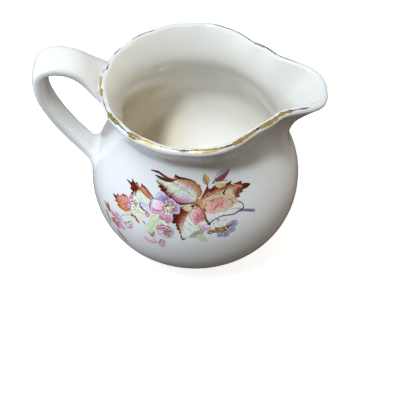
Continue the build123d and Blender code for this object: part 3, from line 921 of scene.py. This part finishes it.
    leaflet(sheet, (-12.3, 41.2), (-11.2, 38.6), 1.8, MINT, SAGE, OLIVE)
    stroke(sheet, [(-13.2, 38.2), (-12.6, 39.4), (-12.2, 40.8)], [0.35, 0.25], PLUM, BROWN)
    leaflet(sheet, (-24.8, 43.8), (-26.2, 41.4), 1.6, SAGE, CREAM, OLIVE)
    petal(sheet, (-26, 42.4), (-28.2, 40.2), 2.2, PINK, MAUVE, ROSE)
    petal(sheet, (-25.8, 42.2), (-26.2, 39.2), 2, WHITE, PINK, MAGENTA)
    petal(sheet, (-25.6, 42.4), (-24.6, 40.4), 1.4, PINK, MAUVE, ROSE)
    sheet.finish("blossom_spray", "blossom_spray_transfer", material)


def side_blossom(material):
    sheet = Print()
    leaflet(sheet, (-35.8, 39.8), (-40.6, 42.4), 2.2, ORANGE, TAN, RUST)
    leaflet(sheet, (-36, 39.2), (-38.4, 43.8), 1.6, BRICK, ORANGE, BROWN)
    stroke(sheet, [(-38.8, 38.6), (-37.4, 35.6), (-36, 32.4)], [0.6, 0.9, 0.5], BROWN)
    leaflet(sheet, (-32.4, 33), (-27, 27.8), 2.6, TAN, CREAM, BROWN)
    stroke(sheet, [(-32, 32.4), (-30, 29.8), (-28, 27.4)], [0.5, 0.5, 0.3], RUST, BROWN)
    flower(sheet, (-32.2, 39),
           [((-35.8, 41.4), 3.4, ROSE, PINK, MAGENTA),
            ((-32, 43.2), 3, PINK, MAUVE, MAGENTA),
            ((-29.4, 41.6), 3.2, MAUVE, LILAC, MAGENTA),
            ((-34.8, 35.2), 3.8, ORANGE, ROSE, MAGENTA),
            ((-31.4, 34), 3.4, MAGENTA, ROSE, MAGENTA),
            ((-28, 36.4), 3.8, PINK, MAUVE, MAGENTA)], CREAM, RUST, 1.7)
    sheet.finish("side_blossom", "side_blossom_transfer", material)


def back_spray(material):
    """The far side's smaller spray: one leaf, one blossom and two buds on a stem."""
    sheet = Print(middle=np.pi / 2)
    stroke(sheet, [(-12, 52), (-5, 50.6), (2, 50), (9, 47)], [0.4, 0.5, 0.5], OLIVE)
    leaf(sheet, [(-2, 50.4), (-5.6, 52.6), (-9.6, 54), (-13.4, 54.6)],
         [(-2, 50.6), (-1.6, 53.4), (-3.2, 55.8), (-4.6, 55.6), (-6.4, 57), (-7.4, 56.2),
          (-10.4, 56.6), (-13.4, 54.7)],
         [(-2, 50.2), (-5, 49.2), (-8.4, 49.4), (-8.6, 50.8), (-11.2, 51.2), (-10.8, 52.8),
          (-13.4, 54.5)], leaf_three_paint, along=70)
    leaflet(sheet, (1, 50.2), (6.8, 54.6), 4, ORANGE, TAN, RUST)
    flower(sheet, (1.4, 45.6),
           [((5.4, 47.4), 4.2, PINK, MAUVE, MAGENTA),
            ((0.6, 49.4), 4.2, MAUVE, LILAC, VIOLET),
            ((-2.6, 45.4), 4.2, PINK, WHITE, MAUVE),
            ((1.6, 41.6), 4.4, MAGENTA, PINK, PLUM)], CREAM, BROWN)
    petal(sheet, (8.6, 47.2), (11.4, 45.8), 2.6, PINK, ROSE, MAGENTA)
    petal(sheet, (-7, 47.6), (-9.8, 45.6), 2.6, PINK, MAGENTA, MAGENTA)
    sheet.finish("back_spray", "back_spray_transfer", material)


# --- gold line ---
# strokes of gold left on the lip: degrees from the front towards the spout, width, and how bare
GOLD = [
    (-96, -84, 1, 0.1), (-85, -77, 1.5, 0), (-77, -68, 0.7, 0.3), (-69, -62, 0.4, 0.8),
    (-63, -50, 1.8, 0), (-51, -43, 0.6, 0.7), (-43, -31, 2, 0), (-32, -22, 1.2, 0.1),
    (-23, -14, 0.8, 0.15), (-15, -8, 0.7, 0.5), (-10, -1, 0.9, 0.95), (-3, 16, 1.7, 0),
    (15, 21, 1, 0.55), (20, 24, 0.7, 0.8), (23, 33, 1.9, 0), (32, 42, 1.6, 0.05),
    (41, 45, 0.9, 0.8), (44, 60, 2, 0), (59, 68, 1.6, 0.25), (66, 74, 0.6, 0.9),
    (109, 118, 0.5, 0.4), (117, 127, 0.7, 0.6), (126, 136, 1.2, 0.1), (135, 152, 0.5, 0.5),
    (152, 168, 0.5, 0.7), (208, 226, 0.5, 0.5), (236, 244, 0.5, 0.8), (252, 262, 0.6, 0.7),
]
GOLD_ELEVATION = radians(66)
GOLD_HIGHER_BEHIND = radians(22)


def rim_gilding(material):
    points, faces, wear, count = [], [], [], 0
    for start, end, width, bare in GOLD:
        steps = max(8, int((end - start) * 2.5))
        s = np.linspace(0, 1, steps)
        angle = np.radians(start + (end - start) * s) - np.pi / 2
        taper = np.clip(np.minimum(s, 1 - s) * 6, 0, 1) ** 0.6
        ragged = noise(np.degrees(angle) * 0.9, 0 * s, start)
        half = width / 2 * taper * (0.55 + 0.7 * ragged)
        elevation = GOLD_ELEVATION + GOLD_HIGHER_BEHIND * (np.sin(angle) > 0.2)
        shift = 0.25 * (noise(np.degrees(angle) * 0.25, 0 * s + 5, 3) - 0.5)
        rows = []
        for t in np.linspace(-1, 1, 5):
            rows.append(lip_point(angle, elevation + (shift + t * half) / LIP_R, 0.03))
        points += rows
        bald = np.stack([noise(np.degrees(angle) * 0.7, 3 * t + 0 * s, 9) for t in range(5)])
        wear.append((bare + 0.5 * (bald - 0.35) + 0.4 * (1 - taper)).reshape(-1))
        faces += grid_faces(5, steps, False, count)
        count += 5 * steps
    piece = make_object("gold_line", np.concatenate(points), faces, material)
    paint_points(piece, "wear", np.clip(np.concatenate(wear), 0, 1)[:, None].repeat(3, 1))
    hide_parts("rim_gilding")


# --- materials ---
class Nodes:
    """The nodes of a material or a world, and a few short ways to add to them."""

    def __init__(self, owner):
        self.owner = owner
        owner.use_nodes = True
        self.tree = owner.node_tree

    def add(self, kind, inputs=(), **settings):
        """Adds a node, links or sets its inputs and gives back its outputs."""
        node = self.tree.nodes.new("ShaderNode" + kind)
        for key, value in settings.items():
            setattr(node, key, value)
        for key, value in dict(inputs).items():
            self.put(value, node.inputs[key])
        return node.outputs

    def put(self, value, socket):
        """Links an output to the socket, or sets the socket to a plain value."""
        if isinstance(value, bpy.types.NodeSocket):
            self.tree.links.new(value, socket)
        else:
            socket.default_value = value

    def shade(self, **sockets):
        """Puts values on the material's shader and gives back the material."""
        shader = self.tree.nodes["Principled BSDF"]
        for name, value in sockets.items():
            self.put(value, shader.inputs[name.replace("_", " ")])
        return self.owner

    def place(self, kind="Object"):
        return self.add("TexCoord")[kind]

    def noise(self, scale, detail=3.0, roughness=0.5):
        inputs = {"Vector": self.place(), "Scale": scale, "Detail": detail, "Roughness": roughness}
        return self.add("TexNoise", inputs)["Fac"]

    def spread(self, value, low, high, to_low, to_high):
        inputs = {"Value": value, "From Min": low, "From Max": high,
                  "To Min": to_low, "To Max": to_high}
        return self.add("MapRange", inputs)["Result"]

    def patchy(self, scale, low, high, detail=3.0):
        """Noise spread from one number to another."""
        return self.spread(self.noise(scale, detail), 0.3, 0.7, low, high)

    def math(self, operation, first, second):
        return self.add("Math", {0: first, 1: second}, operation=operation)["Value"]

    def blend(self, share, first, second, kind="MIX"):
        """Mixes two colours, each an output or three numbers."""
        first, second = ((*value, 1) if isinstance(value, tuple) else value
                         for value in (first, second))
        inputs = {0: share, 6: first, 7: second}
        return self.add("Mix", inputs, data_type="RGBA", blend_type=kind)[2]

    def parts(self, colour):
        return self.add("SeparateColor", {"Color": colour})

    def attribute(self, name):
        return self.add("Attribute", attribute_name=name)["Color"]


# colours of the body's glaze: outside and inside each clouded between two, the outside set bluer,
# and darker than the inside as painted shade; then near the handle's joints, where the handle's
# painted light gives way to the body's tone, the darker inside tone also being painted shade on the
# upper inside wall; and the tea colour of real small stains and of painted warm shade on the
# handle's side of the inside
OUTSIDE_WITH_PAINTED_SHADE = (0.68, 0.695, 0.72), (0.72, 0.73, 0.745)
INSIDE = (0.81, 0.80, 0.765), (0.85, 0.84, 0.805)
OUTSIDE_AT_JOINT = (0.70, 0.712, 0.732)
INSIDE_PAINTED_SHADE = (0.70, 0.69, 0.655)
TEA_STAIN_AND_SHADE = (0.79, 0.68, 0.45)
SPECK = (0.12, 0.09, 0.07)


def glaze_material(name, painted_lightening=1.0, clean=0.975):
    """White ware under a clear glaze: creamier inside, faintly clouded, with specks in the share
    of its cells that isn't clean. The outside's tone is raised by a factor that is painted light."""
    nodes = Nodes(bpy.data.materials.new(name))
    clouds = nodes.spread(nodes.noise(26, 4), 0.35, 0.65, 0, 1)
    part = nodes.parts(nodes.attribute("inside"))
    # the outside's tones times the factor of painted light; near the handle's joints (blue) they
    # give way to the body's own tone
    cool, pale = (tuple(painted_lightening * np.array(tint)) for tint in OUTSIDE_WITH_PAINTED_SHADE)
    outside = nodes.blend(part["Blue"], nodes.blend(clouds, cool, pale), OUTSIDE_AT_JOINT)
    # blue: on the body painted shade on the upper inside wall, on the handle its joints
    inside = nodes.blend(part["Blue"], nodes.blend(clouds, *INSIDE), INSIDE_PAINTED_SHADE)
    # tea colour: real small stains, and painted warm shade low on the handle's side
    inside = nodes.blend(part["Green"], inside, TEA_STAIN_AND_SHADE)
    # one speck in the middle of each 9 mm cell that isn't clean
    cells = nodes.add("TexVoronoi", {"Vector": nodes.place(), "Scale": 110.0})
    near = nodes.spread(cells["Distance"], 0.02, 0.045, 1, 0)
    chosen = nodes.spread(nodes.parts(cells["Color"])["Red"], clean, clean + 0.005, 0, 0.7)
    # red: the inside of the jug, and on the handle's inner face painted warm bounce light
    colour = nodes.blend(nodes.math("MULTIPLY", near, chosen),
                         nodes.blend(part["Red"], outside, inside), SPECK)
    orange_peel = {"Height": nodes.noise(170, 2), "Strength": 0.05, "Distance": 0.0006}
    return nodes.shade(Base_Color=colour, Roughness=nodes.patchy(60, 0.14, 0.24),
                       Normal=nodes.add("Bump", orange_peel)["Normal"],
                       IOR=1.5, Coat_Weight=0.6, Coat_Roughness=0.04)


def gold_material():
    """Worn bright gold, brown where it has gone."""
    nodes = Nodes(bpy.data.materials.new("worn_gold"))
    wear = nodes.parts(nodes.attribute("wear"))["Red"]
    gone = nodes.spread(nodes.math("ADD", wear, nodes.patchy(900, -0.25, 0.25, 4)), 0.4, 0.75, 0, 1)
    bright = nodes.blend(nodes.noise(500, 3), (0.62, 0.42, 0.12), (0.88, 0.66, 0.28))
    return nodes.shade(Base_Color=nodes.blend(gone, bright, (0.10, 0.065, 0.035)),
                       Metallic=nodes.spread(gone, 0, 1, 0.9, 0.1),
                       Roughness=nodes.patchy(700, 0.22, 0.42, 2))


def print_material(name, dots):
    """Enamel print under the glaze: the ink of each point, broken up by fine screen dots."""
    nodes = Nodes(bpy.data.materials.new(name))
    specks = nodes.spread(nodes.noise(dots, 2, 0.6), 0.35, 0.65, 0.82, 1.12)
    return nodes.shade(Base_Color=nodes.blend(1.0, nodes.attribute("ink"), specks, "MULTIPLY"),
                       Roughness=nodes.patchy(300, 0.16, 0.28),
                       IOR=1.5, Coat_Weight=0.5, Coat_Roughness=0.05)


def floor_material():
    """Pale to look at; what it throws back onto the jug is as dim and warm as a wooden table's."""
    nodes = Nodes(bpy.data.materials.new("pale_floor"))
    pale = nodes.blend(nodes.noise(9, 3), (0.90, 0.90, 0.90), (0.94, 0.94, 0.93))
    seen = nodes.add("LightPath")["Is Camera Ray"]
    return nodes.shade(Base_Color=nodes.blend(seen, (0.13, 0.10, 0.075), pale), Roughness=0.9,
                       Emission_Color=(1, 1, 1, 1),
                       Emission_Strength=nodes.spread(seen, 0, 1, 0, 0.72))


# --- surroundings ---
def floor(material):
    side = 3.0  # in metres
    corners = [(-side, -side, 0), (side, -side, 0), (side, side, 0), (-side, side, 0)]
    mesh = bpy.data.meshes.new("floor")
    mesh.from_pydata(corners, [], [(0, 1, 2, 3)])
    mesh.materials.append(material)
    plane = bpy.data.objects.new("floor", mesh)
    bpy.context.scene.collection.objects.link(plane)


def area_light(name, place, size, watts, colour, mirrored):
    """A round lamp that shines on the middle of the jug. Places and sizes are in metres."""
    light = bpy.data.lights.new(name, "AREA")
    light.shape = "DISK"
    light.size = size
    light.energy = watts
    light.color = colour
    lamp = bpy.data.objects.new(name, light)
    lamp.location = place
    lamp.visible_glossy = mirrored
    middle = Vector((0, 0, 0.04))
    lamp.rotation_euler = (middle - lamp.location).to_track_quat("-Z", "Y").to_euler()
    bpy.context.scene.collection.objects.link(lamp)


def room_light():
    """Light from all round: cool from the left and above, dim and warm from the right. The
    backdrop that the camera sees is plain and pale."""
    world = bpy.data.worlds.new("pale_room")
    nodes = Nodes(world)
    way = nodes.add("SeparateXYZ", {"Vector": nodes.place("Generated")})
    # from -X, the handle's side, to +X
    ramp = nodes.tree.nodes.new("ShaderNodeValToRGB")
    nodes.put(nodes.spread(way["X"], -1, 1, 0, 1), ramp.inputs["Fac"])
    ramp.color_ramp.elements[0].color = (0.46, 0.55, 0.70, 1)
    ramp.color_ramp.elements[1].color = (0.72, 0.60, 0.42, 1)
    ramp.color_ramp.elements.new(0.5).color = (0.45, 0.54, 0.66, 1)
    ramp.color_ramp.elements.new(0.75).color = (0.70, 0.60, 0.43, 1)
    lit = nodes.add("Background", {"Color": ramp.outputs["Color"],
                                   "Strength": nodes.spread(way["Y"], -1, 1, 0.30, 0.66)})
    backdrop = nodes.add("Background", {"Color": (0.86, 0.87, 0.88, 1)})
    seen = nodes.add("LightPath")["Is Camera Ray"]
    shown = nodes.add("MixShader", {"Fac": seen, 1: lit[0], 2: backdrop[0]})
    nodes.put(shown["Shader"], nodes.tree.nodes["World Output"].inputs["Surface"])
    return world


def surroundings():
    scene = bpy.context.scene
    scene.view_settings.view_transform = "Standard"
    scene.world = room_light()
    # only the key shows in reflections: the others would put hard spots on the print
    for name, place, size, watts, colour, mirrored in [
            ("key", (-0.25, -0.39, 0.97), 0.12, 10.6, (0.92, 0.975, 1.0), True),
            ("left_fill", (-0.9, 0.05, 0.14), 0.5, 5.8, (0.86, 0.94, 1.0), False),
            ("right_fill", (0.85, 0.5, 0.12), 1.0, 6.4, (1.0, 0.93, 0.82), False)]:
        area_light(name, place, size, watts, colour, mirrored)


# the camera: what it looks at, from how far, how far round from the front and how far above
TARGET = (2.1, 0, 13.9)
DISTANCE = 420
TURNED = radians(0.3)
RAISED = radians(50.1)
LENS_LENGTH = 80.93
SENSOR_WIDTH = 36


def camera():
    """Stands where the jug is seen from in front, from half above."""
    back = Vector((np.sin(TURNED) * np.cos(RAISED), -np.cos(TURNED) * np.cos(RAISED),
                   np.sin(RAISED)))
    lens = bpy.data.cameras.new("camera")
    lens.lens = LENS_LENGTH
    lens.sensor_width = SENSOR_WIDTH
    seen_from = bpy.data.objects.new("camera", lens)
    seen_from.location = Vector(TARGET) * MM + DISTANCE * MM * back
    seen_from.rotation_euler = (-back).to_track_quat("-Z", "Y").to_euler()
    bpy.context.scene.collection.objects.link(seen_from)
    bpy.context.scene.camera = seen_from


# --- the jug and its surroundings ---
jug_body(glaze_material("body_glaze"))
# the handle's glaze is painted lighter than the body's: painted light
handle(glaze_material("handle_glaze_painted_light", painted_lightening=1.18, clean=0.86))
rim_gilding(gold_material())
leaf_spray(print_material("leaf_enamel", 1500))
blossom_enamel = print_material("blossom_enamel", 1900)
blossom_spray(blossom_enamel)
side_blossom(blossom_enamel)
back_spray(blossom_enamel)
floor(floor_material())
surroundings()
camera()
